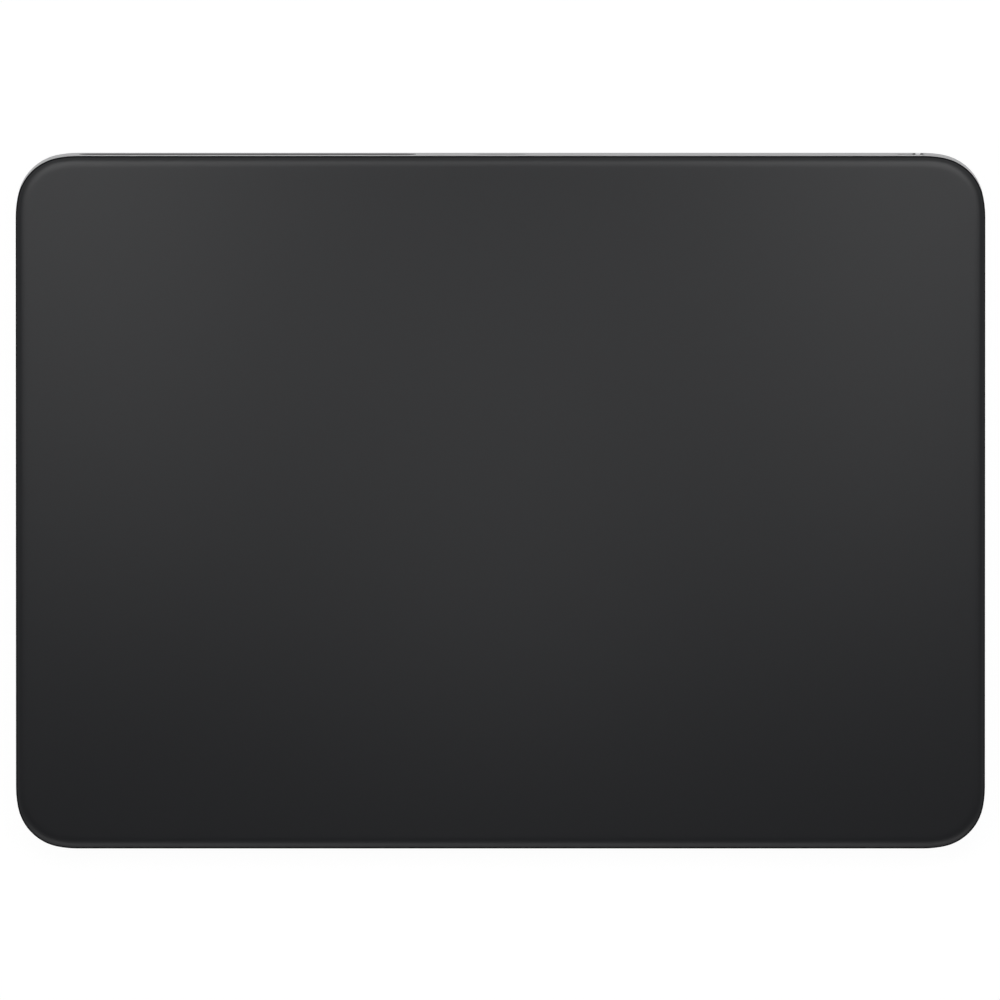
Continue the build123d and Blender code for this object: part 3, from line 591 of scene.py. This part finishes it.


# Power switch: a slide in the slot of the rear wall, near-black as painted shade in the slot and
# on the nub's ends, with a grip standing on it whose light tone is partly the nub's own colour and
# partly a painted highlight on its crest.
# Profiles are pairs of inset and distance out from the wall, and the nub's root goes in behind
# the face. Plates are left, right, top and bottom, and their face's distance from the slide's.

switchShape = {
    "middle": 68.9 * mm,
    "height": 5.2 * mm,
    "edge": 0.05 * mm,
    "face": -1.1 * mm,
    "back": -1.6 * mm,
    "tongue": -3.5 * mm,
    "nub": (1.8 * mm, 1.5 * mm),
    "nubRadius": 0.74 * mm,
    "nubProfile": [(0.14 * mm, 0.13 * mm), (0.05 * mm, 0.12 * mm), (0, 0.07 * mm)],
    "nubRoot": 0.1 * mm,
    "grip": (0.9 * mm, 1.7 * mm),
    "gripRadius": 0.3 * mm,
    "gripProfile": [
        (0.14 * mm, 0.19 * mm), (0.06 * mm, 0.18 * mm), (0.01 * mm, 0.15 * mm), (0, -0.2 * mm),
    ],
    "tongueHalf": (0.6 * mm, 0.5 * mm),
    "tongueMiddle": 69.0 * mm,
    "plates": [
        (64.6 * mm, 70.2 * mm, -1.5 * mm, 1.5 * mm, 0.0),
        (70.2 * mm, 73.0 * mm, -1.5 * mm, 1.5 * mm, -0.2 * mm),
        (70.2 * mm, 73.0 * mm, -1.5 * mm, -0.8 * mm, 0.0),
        (70.2 * mm, 73.0 * mm, 0.8 * mm, 1.5 * mm, 0.0),
    ],
    "slideAngle": 35.0,
    "gripAngle": 60.0,
}
switchDepth = (pad["rearHeight"] - switchShape["height"]) / math.cos(tilt)


def wallPoint(x, drop, out):
    # a point at the switch: drop below the slot's middle, out from the rear wall's plane
    return deckPoint(x, deckLength / 2 + out, switchDepth + drop)


def roundedStack(size, radius, profile, steps=8):
    # rings of a rectangle with round corners on the wall, one for each pair of the profile
    reachX, reachY = size[0] / 2 - radius, size[1] / 2 - radius
    rings = []
    for inset, out in profile:
        points = []
        for quarter, (signX, signY) in enumerate(((1, 1), (-1, 1), (-1, -1), (1, -1))):
            centre = (switchShape["middle"] + signX * reachX, signY * reachY)
            points += arcPoints(centre, radius - inset, quarter * math.pi / 2, math.pi / 2, steps)
        rings.append([wallPoint(x, drop, out) for x, drop in points])
    return rings


def plateStack(left, right, top, bottom, face, back):
    edge = switchShape["edge"]
    rings = []
    for inset, out in ((edge, face), (0, face - edge), (0, back + edge), (edge, back)):
        corners = [(left + inset, top + inset), (right - inset, top + inset)]
        corners += [(right - inset, bottom - inset), (left + inset, bottom - inset)]
        rings.append([wallPoint(x, drop, out) for x, drop in corners])
    return rings


slideFace, slideBack = switchShape["face"], switchShape["back"]
nubProfile = switchShape["nubProfile"] + [(0, slideFace - switchShape["nubRoot"])]
slideStacks = [roundedStack(switchShape["nub"], switchShape["nubRadius"], nubProfile)]
for left, right, top, bottom, lower in switchShape["plates"]:
    slideStacks.append(plateStack(left, right, top, bottom, slideFace + lower, slideBack))
tongueMiddle, (halfLength, halfHeight) = switchShape["tongueMiddle"], switchShape["tongueHalf"]
slideStacks.append(
    plateStack(
        tongueMiddle - halfLength, tongueMiddle + halfLength, -halfHeight, halfHeight,
        slideBack + 2 * switchShape["edge"], switchShape["tongue"],
    )
)
# the slide's near-black finish is a painted shade for the slot and the nub's ends
switchSlideShade = ringPiece("switch_slide", slideStacks, switchShape["slideAngle"])
switchSlideShade.data.materials.append(materials["slide_plastic"])

# the grip's light finish is partly the nub's own tone and partly a painted highlight on its crest
gripStack = roundedStack(switchShape["grip"], switchShape["gripRadius"], switchShape["gripProfile"])
switchGripHighlight = ringPiece("switch_grip_highlight", [gripStack], switchShape["gripAngle"])
switchGripHighlight.data.materials.append(materials["switch_nub"])
for piece in (switchSlideShade, switchGripHighlight):
    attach(piece, "power_switch")
    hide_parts("switch_slider")
print("power switch made")


# Floor: a shaded finish mixed with a glow, by a share for each kind of ray; clear from below

floorShape = {
    "half": 4.0,
    "shift": 0.8,
    "mottle": 3.0,
    "dark": (0.86, 0.86, 0.86),
    "light": (0.88, 0.88, 0.88),
    "roughness": 0.9,
    "specular": 0.1,
    "glow": 1.06,
    "glowShares": {
        "Is Camera Ray": 0.9, "Is Glossy Ray": 0.41, "Is Transmission Ray": 0.9,
        "Is Diffuse Ray": 0.35,
    },
}


def floorMaterial():
    material, tree, shader, place = newMaterial("pale_floor")
    mask = mottleAt(tree, place, floorShape["mottle"])
    tone = between(tree, mask, floorShape["dark"], floorShape["light"])
    tree.links.new(tone, shader.inputs["Base Color"])
    shader.inputs["Roughness"].default_value = floorShape["roughness"]
    shader.inputs["Specular IOR Level"].default_value = floorShape["specular"]
    path = tree.nodes.new("ShaderNodeLightPath")
    glow = addNode(tree, "ShaderNodeEmission", Strength=floorShape["glow"])
    share = None
    for ray, part in floorShape["glowShares"].items():
        scaled = maths(tree, "MULTIPLY", path.outputs[ray], part)
        share = maths(tree, "MAXIMUM", share, scaled) if share else scaled
    mixed = addNode(
        tree, "ShaderNodeMixShader", {0: share, 1: shader.outputs[0], 2: glow.outputs[0]}
    )
    facing = tree.nodes.new("ShaderNodeNewGeometry")
    clear = tree.nodes.new("ShaderNodeBsdfTransparent")
    oneSided = addNode(
        tree,
        "ShaderNodeMixShader",
        {0: facing.outputs["Backfacing"], 1: mixed.outputs[0], 2: clear.outputs[0]},
    )
    tree.links.new(oneSided.outputs[0], tree.nodes["Material Output"].inputs["Surface"])
    return material


# shifted, so that the diagonal between its two triangles isn't under the pad
near, left = -floorShape["half"], floorShape["shift"] - floorShape["half"]
far, right = floorShape["half"], floorShape["shift"] + floorShape["half"]
floor = meshPiece(
    "floor",
    [(left, near, 0), (right, near, 0), (right, far, 0), (left, far, 0)],
    [(0, 1, 2, 3)],
    smooth=False,
)
floor.data.materials.append(floorMaterial())


# Light: each soft box has its place, size and power

frontLamps = {
    "front": ((0, -0.55, 0.35), (1.20, 0.20), 0.47),
    "front_high": ((0, -0.45, 0.40), (1.00, 0.15), 0.4245),
}
middleLamps = {
    "rear_middle": ((0, 0.17, 0.30), (0.12, 0.10), 0.0307),
    "close_middle": ((0, -0.01, 0.16), (0.05, 0.08), 0.01046),
}
pairedLamps = {
    "close": ((0.068, 0.02, 0.16), (0.03, 0.10), 0.01238),
    "side": ((0.20, 0.0, 0.30), (0.12, 0.08), 0.0209),
    "near": ((0.10, 0.08, 0.30), (0.08, 0.08), 0.0513),
    "wide": ((0.20, 0.08, 0.30), (0.12, 0.08), 0.0392),
    "rear": ((0.10, 0.17, 0.30), (0.08, 0.10), 0.1168),
    "corner": ((0.20, 0.17, 0.30), (0.12, 0.10), 0.0295),
}


def softBox(name, place, target, size, power):
    light = bpy.data.lights.new(name, "AREA")
    light.shape = "RECTANGLE"
    light.size, light.size_y = size
    light.energy = power
    lamp = bpy.data.objects.new(name, light)
    bpy.context.scene.collection.objects.link(lamp)
    lamp.location = place
    lamp.rotation_mode = "QUATERNION"
    lamp.rotation_quaternion = (Vector(target) - Vector(place)).to_track_quat("-Z", "Y")
    lamp.visible_camera = False


for name, (place, size, power) in frontLamps.items():
    softBox("lamp_" + name, place, (0, 0, 0), size, power)
for name, (place, size, power) in middleLamps.items():
    softBox("lamp_" + name, place, (place[0], place[1], 0), size, power)
for side, word in ((-1, "left"), (1, "right")):
    for name, ((across, along, height), size, power) in pairedLamps.items():
        x = side * across
        softBox("lamp_" + name + "_" + word, (x, along, height), (x, along, 0), size, power)


# World: pale walls, lighter behind the pad, under a dark ceiling; white to the camera

studio = {
    "wallFront": 0.2,
    "wallRear": 0.67,
    "wallFrom": -0.8,
    "wallTo": 0.6,
    "wallTop": 0.45,
    "ceilingFrom": 0.8,
    "ceiling": 0.04,
}


def buildWorld():
    world = bpy.data.worlds.new("studio")
    bpy.context.scene.world = world
    world.use_nodes = True
    tree = world.node_tree
    background = tree.nodes["Background"]
    direction = tree.nodes.new("ShaderNodeTexCoord")
    split = tree.nodes.new("ShaderNodeSeparateXYZ")
    tree.links.new(direction.outputs["Generated"], split.inputs[0])
    walls = ramp(
        tree, split.outputs["Y"], studio["wallFrom"], studio["wallTo"],
        studio["wallFront"], studio["wallRear"],
    )
    room = ramp(
        tree, split.outputs["Z"], studio["wallTop"], studio["ceilingFrom"],
        walls, studio["ceiling"], smooth=True,
    )
    path = tree.nodes.new("ShaderNodeLightPath")
    strength = addNode(tree, "ShaderNodeMix", {0: path.outputs["Is Camera Ray"], 2: room})
    strength.inputs[3].default_value = 1.0
    tree.links.new(strength.outputs[0], background.inputs["Strength"])
    background.inputs["Color"].default_value = (1, 1, 1, 1)


buildWorld()


# Camera: a long lens nearly straight above; it leans towards the rear, in degrees

view = {
    "distance": 7.0,
    "lean": 0.47,
    "span": 165.03 * mm,
    "middle": (-0.08 * mm, 0.172 * mm, 8.0 * mm),
    "sensor": 36.0,
    "clip": (0.1, 30.0),
}
cameraData = bpy.data.cameras.new("camera")
camera = bpy.data.objects.new("camera", cameraData)
bpy.context.scene.collection.objects.link(camera)
cameraData.sensor_width = view["sensor"]
cameraData.lens = cameraData.sensor_width * view["distance"] / view["span"]
lean = math.radians(view["lean"])
back = Vector((0, math.sin(lean), math.cos(lean)))
camera.location = Vector(view["middle"]) + back * view["distance"]
camera.rotation_euler = (-lean, 0, 0)
cameraData.clip_start, cameraData.clip_end = view["clip"]
bpy.context.scene.camera = camera
bpy.context.scene.view_settings.view_transform = "Standard"
print("stage set")
